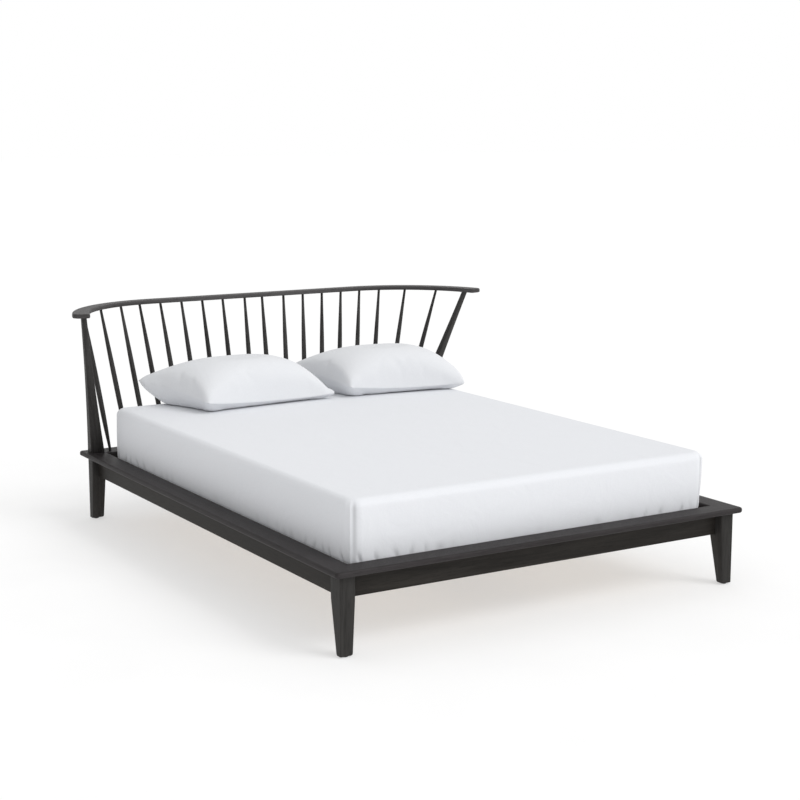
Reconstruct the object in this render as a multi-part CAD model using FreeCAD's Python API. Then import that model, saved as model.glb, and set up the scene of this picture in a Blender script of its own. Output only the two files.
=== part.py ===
import FreeCAD, Part
import math
import os

# A queen-size spindle bed: a low frame of flat cap boards on aprons and tapered legs,
# a curved crest rail on two raked posts and eighteen turned spindles, a slatted deck,
# and a mattress in its fitted sheet with two pillows.
# Origin on the floor below the middle of the whole bed, +X right and +Y towards the head.
# The pieces are worked out about the middle of the cap frame, and moved when saved.

vec = FreeCAD.Vector

# Mattress and sheet
mattress_width = 1524.0
mattress_length = 2032.0
mattress_height = 250.0
mattress_corner_radius = 34.0
mattress_edge_radius = 42.0
mattress_crown = 5.0
mattress_bow = 4.0
sheet_thickness = 1.6
sheet_gap = 0.4
sheet_hem_width = 70.0

# Cap frame
cap_side_gap = 11.0
cap_foot_gap = 6.0
cap_head_gap = 50.0
cap_board_width = 91.0
cap_head_board_width = 111.0
cap_thickness = 21.0
cap_edge_radius = 8.5
cap_corner_radius = 14.0
cap_top_height = 293.0

# Aprons
side_apron_setback = 54.0
end_apron_setback = 61.0
apron_thickness = 22.0
apron_height = 84.0
apron_tenon_length = 18.0
apron_tenon_thickness = 10.0
apron_tenon_margin = 16.0
apron_tenon_rise = 34.0
apron_edge_radius = 2.0

# Legs
leg_setback = 26.0
head_leg_setback = 39.0
foot_leg_width = 57.0
foot_leg_width_at_floor = 48.0
foot_leg_depth = 65.0
foot_leg_depth_at_floor = 31.0
head_leg_width = 57.0
head_leg_width_at_floor = 41.0
head_leg_depth = 52.0
head_leg_depth_at_floor = 44.0
leg_flare = 9.0
leg_edge_radius = 4.0
glide_radius = 11.0
glide_height = 4.0
glide_chamfer = 1.0

# Corner blocks and their bolts
block_leg_gap = 3.0
block_width = 34.0
block_height = 34.0
bolt_radius = 4.0
bolt_embed = 16.0
bolt_proud = 12.0
washer_radius = 11.0
washer_thickness = 2.0
nut_radius = 7.5
nut_height = 6.5
nut_sides = 6
fastener_fit = 0.4

# Slatted deck
cleat_width = 30.0
cleat_height = 36.0
slat_width = 90.0
slat_thickness = 19.0
slat_count = 13
slat_end_gap = 2.0
slat_edge_radius = 3.0
strap_width = 25.0
strap_thickness = 1.5
strap_inset = 110.0

# Centre beam
beam_width = 60.0
hanger_thickness = 2.5
hanger_flange = 30.0
centre_leg_width = 44.0
centre_leg_setback = 760.0
stud_radius = 4.0
stud_embed = 14.0

# Posts
post_base_width = 62.0
post_base_depth = 44.0
post_middle_width = 39.0
post_middle_depth = 32.0
post_middle_share = 0.4
post_top_width = 21.0
post_top_depth = 21.0
post_edge_radius = 5.0
post_lean_out = 127.0
post_lean_forward = 240.0
post_tenon_width = 30.0
post_tenon_depth = 20.0
post_tenon_clearance = 4.0
post_top_tenon = 9.0
post_top_tenon_radius = 7.0
mortise_fit = 0.2

# Crest rail
crest_top_height = 931.0
crest_thickness = 18.0
crest_depth = 54.0
crest_end_depth = 71.0
crest_overhang = 39.0
crest_bend_inset = 364.0
crest_back_radius = 515.0
crest_end_angle = 77.0
crest_outer_radius = 32.0
crest_inner_radius = 12.0
crest_edge_radius = 5.0

# Spindles
spindle_count = 18
spindle_setback = 60.0
spindle_post_gap = 65.5
spindle_crest_inset = 14.0
spindle_base_radius = 5.2
spindle_top_radius = 4.7
spindle_belly_radius = 9.1
spindle_base_tenon = 15.0
spindle_top_tenon = 9.0
spindle_tenon_radius = 4.2

# Pillows
pillow_depth = 480.0
pillow_height = 186.0
pillow_seam_height = 62.0
pillow_draw_in = 22.0
case_thickness = 1.4
case_gap = 0.4
rest_gap = 0.3
pillow_crown_share = 0.81

# Corners of each pillow's seam, anticlockwise from the front right: across the bed in shares
# of half the mattress width, and ahead of the spindles in shares of the pillow depth
pillow_left_shares = ((0.212, 0.875), (0.092, 0.083), (-0.846, 0.135), (-0.669, 1.031))
pillow_right_shares = ((1.043, 1.041), (1.025, 0.213), (0.123, 0.073), (0.25, 0.948))

# Places worked out from the sizes above
cap_half_width = mattress_width / 2 + cap_side_gap + cap_board_width
frame_length = (mattress_length + cap_foot_gap + cap_head_gap
                + cap_board_width + cap_head_board_width)
cap_half_length = frame_length / 2
cap_under = cap_top_height - cap_thickness
apron_under = cap_under - apron_height
leg_outer_x = cap_half_width - leg_setback
foot_leg_face = cap_half_length - leg_setback
head_leg_face = cap_half_length - head_leg_setback
cap_inner_x = cap_half_width - cap_board_width
cap_inner_foot_y = -cap_half_length + cap_board_width
cap_inner_head_y = cap_half_length - cap_head_board_width
slat_top = apron_under + cleat_height + slat_thickness
tenon_step = (apron_under + apron_tenon_rise + cap_under - apron_tenon_margin) / 2
block_under = apron_under + (cleat_height + slat_thickness - block_height) / 2
mattress_under = slat_top + sheet_gap + sheet_thickness + rest_gap
mattress_mid_y = cap_inner_foot_y + cap_foot_gap + mattress_length / 2
mattress_top = mattress_under + mattress_height
crest_under = crest_top_height - crest_thickness
crest_back_y = cap_half_length + crest_overhang
crest_straight_half = cap_half_width - crest_bend_inset
crest_half_length = crest_straight_half + crest_back_radius * math.radians(crest_end_angle)
post_base_x = leg_outer_x - head_leg_width / 2
post_base_y = head_leg_face - head_leg_depth / 2
post_tenon_length = cap_thickness + apron_tenon_margin - post_tenon_clearance
spindle_base_y = cap_half_length - spindle_setback
spindle_pitch = 2 * (post_base_x - spindle_post_gap) / (spindle_count - 1)
pillow_under = (mattress_top + mattress_crown * pillow_crown_share
                + sheet_thickness + sheet_gap + rest_gap)


def save(name, shape):
    """Write one sub-part, moved so that the crest's overhang is shared fore and aft."""
    shape = shape.copy()
    shape.translate(vec(0, -crest_overhang / 2, 0))
    shape.exportStep("parts/" + name + ".step")
    print(name, len(shape.Solids), round(shape.Volume / 1000), shape.isValid())


def box(x0, x1, y0, y1, z0, z1):
    """A block between three pairs of planes, given in any order."""
    low = vec(min(x0, x1), min(y0, y1), min(z0, z1))
    return Part.makeBox(abs(x1 - x0), abs(y1 - y0), abs(z1 - z0), low)


def prism(points, push):
    """Extrude a closed outline of straight sides."""
    face = Part.Face(Part.makePolygon(points + [points[0]]))
    return face.extrude(push)


def halfway(first, last):
    """The middle of two points."""
    return first.add(last).multiply(1 / 2)


# An edge runs along an axis when at least this share of its length is along it
along_share = 0.9


def edges_along(shape, axis, keep=None):
    """Straight edges that run along an axis, and pass a test of their middle."""
    found = []
    for edge in shape.Edges:
        if edge.Curve.TypeId != "Part::GeomLine":
            continue
        first = edge.Vertexes[0].Point
        last = edge.Vertexes[-1].Point
        way = last.sub(first)
        if abs(way.dot(axis)) > along_share * way.Length:
            if keep is None or keep(halfway(first, last)):
                found.append(edge)
    return found


def mirrored(shape):
    """The same piece on the other side of the bed."""
    return shape.mirror(vec(0, 0, 0), vec(1, 0, 0))


# Cap boards: mitred at the foot, butted to the full-width head board

def cap_slab():
    """The outside of the whole frame of cap boards, rounded at its corners and rims."""
    slab = box(-cap_half_width, cap_half_width, -cap_half_length, cap_half_length,
               cap_under, cap_top_height)
    slab = slab.makeFillet(cap_corner_radius, edges_along(slab, vec(0, 0, 1)))
    return slab.makeFillet(cap_edge_radius, flat_edges(slab, cap_thickness / 2))


def flat_edges(shape, rise):
    """The edges of a plate that stay level, told by how little they rise."""
    return [edge for edge in shape.Edges if edge.BoundBox.ZLength < rise]


def cap_foot():
    """The foot board, mitred at both ends."""
    outline = [vec(-cap_half_width, -cap_half_length, cap_under),
               vec(cap_half_width, -cap_half_length, cap_under),
               vec(cap_inner_x, cap_inner_foot_y, cap_under),
               vec(-cap_inner_x, cap_inner_foot_y, cap_under)]
    board = prism(outline, vec(0, 0, cap_thickness))
    board = board.makeFillet(cap_edge_radius, edges_along(
        board, vec(1, 0, 0), lambda m: m.y > cap_inner_foot_y - cap_edge_radius))
    return board.common(cap_slab())


def cap_left():
    """The left board, mitred at the foot and square against the head board."""
    outline = [vec(-cap_half_width, -cap_half_length, cap_under),
               vec(-cap_inner_x, cap_inner_foot_y, cap_under),
               vec(-cap_inner_x, cap_inner_head_y, cap_under),
               vec(-cap_half_width, cap_inner_head_y, cap_under)]
    board = prism(outline, vec(0, 0, cap_thickness))
    board = board.makeFillet(cap_edge_radius, edges_along(
        board, vec(0, 1, 0), lambda m: m.x > -cap_inner_x - cap_edge_radius))
    return board.common(cap_slab())


def cap_head():
    """The head board, full width, with the sockets of the posts and spindles."""
    board = box(-cap_half_width, cap_half_width, cap_inner_head_y, cap_half_length,
                cap_under, cap_top_height)
    board = board.makeFillet(cap_edge_radius, edges_along(
        board, vec(1, 0, 0), lambda m: m.y < cap_inner_head_y + cap_edge_radius))
    board = board.common(cap_slab())
    for side in (-1, 1):
        board = board.cut(post_mortise(side))
    for number in range(spindle_count):
        board = board.cut(spindle_hole(number))
    return board


# Legs: square above, tapered on the inner sides below the apron, with a small flare

def leg_face(outer, top_size, floor_size, place):
    """One face of a leg: straight beside the apron, a small flare, and a taper."""
    inner = outer - top_size
    turn = leg_flare * (1 - math.sqrt(1 / 2))
    flare_start = place(inner - leg_flare, apron_under)
    flare_middle = place(inner - turn, apron_under - turn)
    flare_end = place(inner, apron_under - leg_flare)
    corners = [flare_end, place(outer - floor_size, glide_height), place(outer, glide_height),
               place(outer, cap_under), place(inner, cap_under), place(inner, apron_under),
               flare_start]
    edges = []
    for first, second in zip(corners[:-1], corners[1:]):
        edges.append(Part.LineSegment(first, second).toShape())
    edges.append(Part.Arc(flare_start, flare_middle, flare_end).toShape())
    return Part.Face(Part.Wire(edges))


def leg(outer_y, width, width_floor, depth, depth_floor):
    """A leg in the +X, +Y corner, where its two face outlines cross."""
    far = outer_y - depth - 2 * leg_flare
    front = leg_face(leg_outer_x, width, width_floor, lambda size, z: vec(size, far, z))
    front = front.extrude(vec(0, outer_y - far, 0))
    near = leg_outer_x - width - 2 * leg_flare
    side = leg_face(outer_y, depth, depth_floor, lambda size, z: vec(near, size, z))
    side = side.extrude(vec(leg_outer_x - near, 0, 0))
    shape = front.common(side)
    outer_edge = edges_along(
        shape, vec(0, 0, 1), lambda m: abs(m.x - leg_outer_x) < leg_edge_radius
        and abs(m.y - outer_y) < leg_edge_radius)
    return shape.makeFillet(leg_edge_radius, outer_edge)


def foot_leg():
    """The right foot leg, turned to its corner."""
    shape = leg(foot_leg_face, foot_leg_width, foot_leg_width_at_floor,
                foot_leg_depth, foot_leg_depth_at_floor)
    shape = shape.mirror(vec(0, 0, 0), vec(0, 1, 0))
    return shape.cut(leg_mortises(-1))


def head_leg():
    """The right head leg, with the mortise of the post in its top."""
    shape = leg(head_leg_face, head_leg_width, head_leg_width_at_floor,
                head_leg_depth, head_leg_depth_at_floor)
    shape = shape.cut(leg_mortises(1))
    return shape.cut(post_mortise(1))


def leg_sizes(end):
    """Width and depth of the leg block at the foot (-1) or the head (1), and its end face."""
    if end < 0:
        return foot_leg_width, foot_leg_depth, foot_leg_face
    return head_leg_width, head_leg_depth, head_leg_face


def side_tenon(end, fit):
    """The tenon of a side apron in the right leg at one end, below the end apron's."""
    width, depth, face = leg_sizes(end)
    middle = cap_half_width - side_apron_setback - apron_thickness / 2
    shoulder = end * (face - depth)
    tip = shoulder + end * (apron_tenon_length + fit)
    half = apron_tenon_thickness / 2 + fit
    return box(middle - half, middle + half, shoulder, tip,
               apron_under + apron_tenon_rise - fit, tenon_step - mortise_fit + fit)


def end_tenon(end, fit):
    """The tenon of the foot or head apron in its right leg, above the side apron's."""
    width, depth, face = leg_sizes(end)
    middle = end * (cap_half_length - end_apron_setback - apron_thickness / 2)
    shoulder = leg_outer_x - width
    tip = shoulder + apron_tenon_length + fit
    half = apron_tenon_thickness / 2 + fit
    return box(shoulder, tip, middle - half, middle + half,
               tenon_step + mortise_fit - fit, cap_under - apron_tenon_margin + fit)


def leg_mortises(end):
    """The room in a right leg for the tenons of its two aprons."""
    return side_tenon(end, mortise_fit).fuse(end_tenon(end, mortise_fit))


# Aprons

def side_apron():
    """The right side apron with a tenon at each end."""
    face = cap_half_width - side_apron_setback
    foot = foot_leg_depth - foot_leg_face
    head = head_leg_face - head_leg_depth
    board = box(face - apron_thickness, face, foot, head, apron_under, cap_under)
    board = board.makeFillet(apron_edge_radius, edges_along(
        board, vec(0, 1, 0), lambda m: m.z < apron_under + apron_edge_radius))
    board = board.fuse(side_tenon(-1, 0))
    return board.fuse(side_tenon(1, 0)).removeSplitter()


def end_apron(end):
    """The foot (-1) or head (1) apron."""
    half = leg_outer_x - leg_sizes(end)[0]
    face = end * (cap_half_length - end_apron_setback)
    back = face - end * apron_thickness
    board = box(-half, half, face, back, apron_under, cap_under)
    board = board.makeFillet(apron_edge_radius, edges_along(
        board, vec(1, 0, 0), lambda m: m.z < apron_under + apron_edge_radius))
    tenon = end_tenon(end, 0)
    return board.fuse(tenon).fuse(mirrored(tenon)).removeSplitter()


# Glides

def glide(x, y):
    """A nylon disc under a leg, chamfered at the floor."""
    disc = Part.makeCylinder(glide_radius, glide_height, vec(x, y, 0))
    rim = [e for e in disc.Edges if e.Curve.TypeId == "Part::GeomCircle"
           and e.CenterOfMass.z < glide_height / 2]
    return disc.makeChamfer(glide_chamfer, rim)


# Corner blocks, bolts, washers and nuts, made for the right corners

def corner_inner(end):
    """Inner corner of the two aprons at one end."""
    x = cap_half_width - side_apron_setback - apron_thickness
    y = end * (cap_half_length - end_apron_setback - apron_thickness)
    return x, y


def block_near(end):
    """Reach along the aprons to the block's face towards the leg."""
    width, depth, face = leg_sizes(end)
    x, y = corner_inner(end)
    return x - leg_outer_x + width + abs(y) - face + depth + block_leg_gap


def corner_block(end):
    """A wooden block across the corner, its ends flat on the two aprons."""
    x, y = corner_inner(end)
    near = block_near(end)
    far = near + block_width
    outline = [vec(x, y - end * far, block_under),
               vec(x, y - end * near, block_under),
               vec(x - near, y, block_under),
               vec(x - far, y, block_under)]
    block = prism(outline, vec(0, 0, block_height))
    start, way = bolt_line(end)
    hole = Part.makeCylinder(bolt_radius + fastener_fit / 2, bolt_length(), start, way)
    return block.cut(hole)


def bolt_line(end):
    """Start inside the deck and direction, on the line of the leg's inner corner."""
    width, depth, face = leg_sizes(end)
    way = vec(1, end, 0).normalize()
    corner = vec(leg_outer_x - width, end * (face - depth),
                 block_under + block_height / 2)
    return corner.sub(vec(way).multiply(bolt_length() - bolt_embed)), way


def bolt_length():
    """Through the washer, nut and block, and into the leg."""
    return bolt_proud + (block_width + block_leg_gap) / math.sqrt(2) + bolt_embed


def corner_bolt(end):
    """The bolt that draws the leg against the block."""
    start, way = bolt_line(end)
    return Part.makeCylinder(bolt_radius, bolt_length(), start, way)


def corner_washer(end):
    """The washer on the block's inner face."""
    start, way = bolt_line(end)
    seat = start.add(vec(way).multiply(bolt_proud - washer_thickness))
    ring = Part.makeCylinder(washer_radius, washer_thickness, seat, way)
    hole = Part.makeCylinder(bolt_radius + fastener_fit / 2, washer_thickness, seat, way)
    return ring.cut(hole)


def corner_nut(end):
    """The hexagon nut on the washer."""
    start, way = bolt_line(end)
    seat = start.add(vec(way).multiply(bolt_proud - washer_thickness - nut_height))
    across = vec(0, 0, 1)
    aside = way.cross(across)
    points = []
    for index in range(nut_sides):
        angle = 2 * math.pi * index / nut_sides
        arm = vec(aside).multiply(nut_radius * math.cos(angle))
        arm = arm.add(vec(across).multiply(nut_radius * math.sin(angle)))
        points.append(seat.add(arm))
    hexagon = prism(points, vec(way).multiply(nut_height))
    hole = Part.makeCylinder(bolt_radius, nut_height, seat, way)
    return hexagon.cut(hole)


def four_corners(maker):
    """The same small piece at all four corners."""
    pieces = []
    for end in (-1, 1):
        piece = maker(end)
        pieces.append(piece)
        pieces.append(mirrored(piece))
    return Part.makeCompound(pieces)


# Slatted deck

def cleat():
    """The right cleat, under the slat ends, between the corner blocks."""
    outer, foot = corner_inner(-1)
    head = corner_inner(1)[1]
    foot += block_near(-1) + block_width + slat_end_gap
    head -= block_near(1) + block_width + slat_end_gap
    return box(outer - cleat_width, outer, foot, head, apron_under, apron_under + cleat_height)


def slat_places():
    """Middle of each slat along the bed."""
    first = corner_inner(-1)[1] + block_near(-1) + block_width + slat_end_gap + slat_width / 2
    last = corner_inner(1)[1] - block_near(1) - block_width - slat_end_gap - slat_width / 2
    step = (last - first) / (slat_count - 1)
    return [first + step * index for index in range(slat_count)]


def slats():
    """All the slats, side by side on the cleats and the beam."""
    half = corner_inner(1)[0] - slat_end_gap
    low = apron_under + cleat_height
    pieces = []
    for y in slat_places():
        slat = box(-half, half, y - slat_width / 2, y + slat_width / 2,
                   low, low + slat_thickness)
        slat = slat.makeFillet(slat_edge_radius, edges_along(
            slat, vec(1, 0, 0), lambda m: m.z > low + slat_edge_radius))
        pieces.append(slat)
    return Part.makeCompound(pieces)


def strap():
    """The right webbing strap, fixed under the slats."""
    x = cap_inner_x - strap_inset
    places = slat_places()
    top = apron_under + cleat_height
    return box(x - strap_width / 2, x + strap_width / 2, places[0] - slat_width / 2,
               places[-1] + slat_width / 2, top - strap_thickness, top)


# Centre beam, its hangers, legs and studs

def beam_end():
    """Half the beam's length, between the hanger plates."""
    return cap_half_length - end_apron_setback - apron_thickness - hanger_thickness


def centre_leg_places():
    """Middle of each centre leg along the bed."""
    return [-beam_end() + centre_leg_setback, beam_end() - centre_leg_setback]


def centre_stud(y):
    """The stud that joins a centre leg to the beam."""
    low = apron_under - stud_embed
    return Part.makeCylinder(stud_radius, 2 * stud_embed, vec(0, y, low))


def centre_beam():
    """The beam under the middle of the slats."""
    beam = box(-beam_width / 2, beam_width / 2, -beam_end(), beam_end(),
               apron_under, apron_under + cleat_height)
    for y in centre_leg_places():
        beam = beam.cut(centre_stud(y))
    return beam


def beam_hanger():
    """A steel saddle on the inside of the head apron."""
    face = beam_end() + hanger_thickness
    half = beam_width / 2 + hanger_thickness
    top = apron_under + cleat_height
    shape = box(-half - hanger_flange, half + hanger_flange, face - hanger_thickness, face,
                apron_under, top)
    for side in (-1, 1):
        inner = side * (half - hanger_thickness)
        cheek = box(inner, side * half, face - hanger_flange, face, apron_under, top)
        shape = shape.fuse(cheek)
    return shape.removeSplitter()


def centre_leg(y):
    """A plain square leg with chamfered edges."""
    half = centre_leg_width / 2
    post = box(-half, half, y - half, y + half, glide_height, apron_under)
    post = post.makeChamfer(leg_edge_radius, edges_along(post, vec(0, 0, 1)))
    return post.cut(centre_stud(y))


# Posts: raked tapered sticks, with a tenon down into the leg and a round one up

def outline_side(start, end, centre, bulge):
    """One side of an outline: straight, or bowed away from the centre or towards it."""
    if not bulge:
        return Part.LineSegment(start, end).toShape()
    middle = halfway(start, end)
    out = middle.sub(centre).normalize().multiply(bulge)
    return Part.Arc(start, middle.add(out), end).toShape()


def corners_about(centre, half_x, half_y):
    """Four corners about a centre, anticlockwise from the front right, with their signs."""
    signs = ((1, -1), (1, 1), (-1, 1), (-1, -1))
    return [(centre.add(vec(right * half_x, back * half_y, 0)), right, back)
            for right, back in signs]


def round_outline(centre, half_x, half_y, radius, bulge):
    """A closed outline with round corners."""
    arcs = []
    for hub, right, back in corners_about(centre, half_x - radius, half_y - radius):
        on_x = hub.add(vec(right * radius, 0, 0))
        on_y = hub.add(vec(0, back * radius, 0))
        middle = hub.add(vec(right, back, 0).normalize().multiply(radius))
        arcs.append((on_y, middle, on_x) if right * back < 0 else (on_x, middle, on_y))
    edges = []
    for arc, following in zip(arcs, arcs[1:] + arcs[:1]):
        edges.append(Part.Arc(*arc).toShape())
        edges.append(outline_side(arc[-1], following[0], centre, bulge))
    return Part.Wire(edges)


def post_top():
    """Centre of the right post where it meets the crest rail."""
    return vec(post_base_x + post_lean_out, post_base_y - post_lean_forward, crest_under)


def post_tenon(fit):
    """The square tenon that goes down through the cap into the right leg."""
    half_x = post_tenon_width / 2 + fit
    half_y = post_tenon_depth / 2 + fit
    return box(post_base_x - half_x, post_base_x + half_x,
               post_base_y - half_y, post_base_y + half_y,
               cap_top_height - post_tenon_length - fit, cap_top_height)


def post_crest_tenon(fit):
    """The round tenon in the crest rail."""
    top = post_top()
    return Part.makeCylinder(post_top_tenon_radius + fit, post_top_tenon + fit, top)


def post_mortise(side):
    """The room for a post's tenon, on the left (-1) or the right (1)."""
    tenon = post_tenon(mortise_fit)
    return tenon if side > 0 else mirrored(tenon)


def post():
    """The right post, its taper quicker near the base."""
    base = vec(post_base_x, post_base_y, cap_top_height)
    middle = base.add(post_top().sub(base).multiply(post_middle_share))
    wires = []
    for centre, width, depth in ((base, post_base_width, post_base_depth),
                                 (middle, post_middle_width, post_middle_depth),
                                 (post_top(), post_top_width, post_top_depth)):
        wires.append(round_outline(centre, width / 2, depth / 2, post_edge_radius, 0))
    stick = Part.makeLoft(wires, True, False)
    return stick.fuse(post_tenon(0)).fuse(post_crest_tenon(0))


# Spindles: turned, slim at both ends, each on its own raked line

def crest_point(along, inset):
    """A point of the rail at a distance along its back edge from the middle."""
    turn = max(0, along - crest_straight_half) / crest_back_radius
    x = min(along, crest_straight_half) + (crest_back_radius - inset) * math.sin(turn)
    y = crest_back_y - inset - (crest_back_radius - inset) * (1 - math.cos(turn))
    return vec(x, y, crest_under)


# Where the spindles meet the rail, from the middle out, as shares of its half length
spindle_top_shares = (0.0369, 0.1292, 0.2139, 0.2986, 0.3834, 0.4681, 0.5528, 0.6602, 0.7902)


def spindle_line(number):
    """Base and top of a spindle, from the left."""
    from_middle = number - (spindle_count - 1) / 2
    side = math.copysign(1, from_middle)
    base = vec(from_middle * spindle_pitch, spindle_base_y, cap_top_height)
    share = spindle_top_shares[int(abs(from_middle))]
    top = crest_point(crest_half_length * share, spindle_crest_inset)
    return base, vec(side * top.x, top.y, top.z)


def spindle_hole(number):
    """The slanted hole for a spindle in the head board."""
    base, top = spindle_line(number)
    way = top.sub(base).normalize()
    start = base.sub(vec(way).multiply(spindle_base_tenon + mortise_fit))
    return Part.makeCylinder(spindle_tenon_radius + mortise_fit,
                             2 * spindle_base_tenon, start, way)


def spindle_crest_hole(number):
    """The slanted hole for a spindle in the underside of the rail."""
    base, top = spindle_line(number)
    way = top.sub(base).normalize()
    start = top.sub(vec(way).multiply(spindle_top_tenon))
    return Part.makeCylinder(spindle_tenon_radius + mortise_fit,
                             2 * spindle_top_tenon + mortise_fit, start, way)


# Height share and swelling share of the turned outline, from the base up
spindle_outline_shares = ((0.0, 0.0), (0.11, 0.12), (0.21, 0.62), (0.33, 0.97),
                          (0.46, 0.97), (0.66, 0.66), (0.87, 0.14), (1.0, 0.0))


def spindle(number):
    """One turned spindle with its two tenons."""
    base, top = spindle_line(number)
    length = top.sub(base).Length
    points = []
    for height_share, swell_share in spindle_outline_shares:
        slim = spindle_base_radius + (spindle_top_radius - spindle_base_radius) * height_share
        radius = slim + (spindle_belly_radius - slim) * swell_share
        points.append(vec(radius, 0, length * height_share))
    curve = Part.BSplineCurve()
    curve.interpolate(points)
    side = curve.toShape()
    tip = spindle_tenon_radius
    low = -spindle_base_tenon
    high = length + spindle_top_tenon
    corners = [points[-1], vec(tip, 0, length), vec(tip, 0, high), vec(0, 0, high),
               vec(0, 0, low), vec(tip, 0, low), vec(tip, 0, 0), points[0]]
    edges = [side]
    for first, second in zip(corners[:-1], corners[1:]):
        edges.append(Part.LineSegment(first, second).toShape())
    solid = Part.Face(Part.Wire(edges)).revolve(vec(0, 0, 0), vec(0, 0, 1), 360)
    turn = FreeCAD.Rotation(vec(0, 0, 1), top.sub(base))
    solid.Placement = FreeCAD.Placement(base, turn)
    return solid


# Crest rail: straight in the middle, swept forwards at both ends, with rounded corners

def crest_end(inset):
    """A point of the rail's right end, at a distance in from its back edge."""
    angle = math.radians(crest_end_angle)
    inward = vec(-math.sin(angle), -math.cos(angle), 0)
    return crest_point(crest_half_length, 0).add(inward.multiply(inset))


def front_bend(start, end):
    """The middle of the front edge's bend, which starts straight along the rail."""
    reach = end.x - start.x
    drop = start.y - end.y
    radius = (reach ** 2 + drop ** 2) / (2 * drop)
    half_turn = math.asin(reach / radius) / 2
    return start.add(vec(radius * math.sin(half_turn), -radius * (1 - math.cos(half_turn)), 0))


def crest_outline():
    """The rail seen from above, from arcs and lines that mirror at the middle."""
    back_start = crest_point(crest_straight_half, 0)
    back_middle = crest_point((crest_straight_half + crest_half_length) / 2, 0)
    back_end = crest_end(0)
    front_end = crest_end(crest_end_depth)
    front_start = vec(crest_straight_half, crest_back_y - crest_depth, crest_under)
    right = [Part.Arc(back_start, back_middle, back_end).toShape(),
             Part.LineSegment(back_end, front_end).toShape(),
             Part.Arc(front_end, front_bend(front_start, front_end), front_start).toShape()]
    across = [Part.LineSegment(point, vec(-point.x, point.y, point.z)).toShape()
              for point in (back_start, front_start)]
    left = [mirrored(edge) for edge in right]
    return Part.Wire(Part.__sortEdges__(right + across + left))


def crest_rail():
    """The rail with its round corners and edges and all its sockets."""
    rail = Part.Face(crest_outline()).extrude(vec(0, 0, crest_thickness))
    between = crest_end(crest_end_depth / 2).x
    reach = crest_end(crest_end_depth).x - crest_inner_radius
    rail = rail.makeFillet(crest_outer_radius, edges_along(
        rail, vec(0, 0, 1), lambda m: abs(m.x) > between))
    rail = rail.makeFillet(crest_inner_radius, edges_along(
        rail, vec(0, 0, 1), lambda m: reach < abs(m.x) < between))
    rail = rail.makeFillet(crest_edge_radius, flat_edges(rail, crest_thickness / 2))
    for number in range(spindle_count):
        rail = rail.cut(spindle_crest_hole(number))
    socket = post_crest_tenon(mortise_fit)
    return rail.cut(socket).cut(mirrored(socket))


# Mattress and fitted sheet: soft-edged block with a slight crown

# Inset share and rise share of the round top edge, and the same of the crown inside it
mattress_edge_shares = ((0.0, 0.0), (0.29, 0.71), (1.0, 1.0))
mattress_crown_shares = ((0.15, 0.45), (0.4, 0.8), (0.7, 1.0))


def mattress_form(grow):
    """The mattress solid, larger all round by a given amount."""
    half_x = mattress_width / 2 - mattress_bow + grow
    half_y = mattress_length / 2 - mattress_bow + grow
    low = mattress_under - grow
    high = mattress_top + grow
    radius = mattress_edge_radius
    levels = []
    for inset_share, rise_share in mattress_edge_shares:
        levels.append((radius * inset_share, high - radius * (1 - rise_share)))
    levels = [(inset, low + high - z) for inset, z in reversed(levels)] + levels
    for inset_share, rise_share in mattress_crown_shares:
        levels.append((radius + inset_share * half_x, high + mattress_crown * rise_share))
    wires = []
    for inset, z in levels:
        corner = mattress_corner_radius + grow - min(inset, radius) / 2
        wires.append(round_outline(vec(0, mattress_mid_y, z), half_x - inset,
                                   half_y - inset, corner, mattress_bow))
    return Part.makeLoft(wires, True, True)


def fitted_sheet():
    """Outer skin less the mattress and a small gap, open below inside its hem."""
    skin = mattress_form(sheet_gap + sheet_thickness).cut(mattress_form(sheet_gap))
    half_x = mattress_width / 2 - sheet_hem_width
    half_y = mattress_length / 2 - sheet_hem_width
    low = mattress_under - sheet_gap - 2 * sheet_thickness
    opening = box(-half_x, half_x, mattress_mid_y - half_y, mattress_mid_y + half_y,
                  low, mattress_under + mattress_edge_radius)
    opening = opening.makeFillet(sheet_hem_width, edges_along(opening, vec(0, 0, 1)))
    return skin.cut(opening)


# Pillows: a knife-edge seam with drawn-in sides, a flat belly and a high crown

def seam_corners(corner_shares):
    """The four corners of a pillow's seam, at zero height."""
    return [vec(mattress_width / 2 * across, spindle_base_y - pillow_depth * ahead, 0)
            for across, ahead in corner_shares]


def pillow_outline(corners, share, draw_in, z, grow):
    """A closed outline at one height: bowed in (draw_in over zero) or out."""
    middle = halfway(halfway(corners[0], corners[2]), halfway(corners[1], corners[3]))
    centre = middle.add(vec(0, 0, z))
    points = []
    for corner, (out, right, back) in zip(corners, corners_about(centre, grow, grow)):
        points.append(out.add(corner.sub(middle).multiply(share)))
    return Part.Wire([outline_side(first, second, centre, -draw_in)
                      for first, second in zip(points, points[1:] + points[:1])])


# Size share, draw-in share and height share above the seam, then below it
pillow_upper_shares = ((1.0, 1.0, 0.0), (0.93, 0.2, 0.34), (0.8, -0.7, 0.63),
                       (0.6, -1.2, 0.85), (0.36, -1.0, 0.965), (0.15, -0.5, 0.995),
                       (0.04, -0.15, 1.0))
pillow_lower_shares = ((1.0, 1.0, 0.0), (0.95, 0.5, 0.4), (0.86, -0.1, 0.75),
                       (0.7, -0.6, 1.0))


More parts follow.
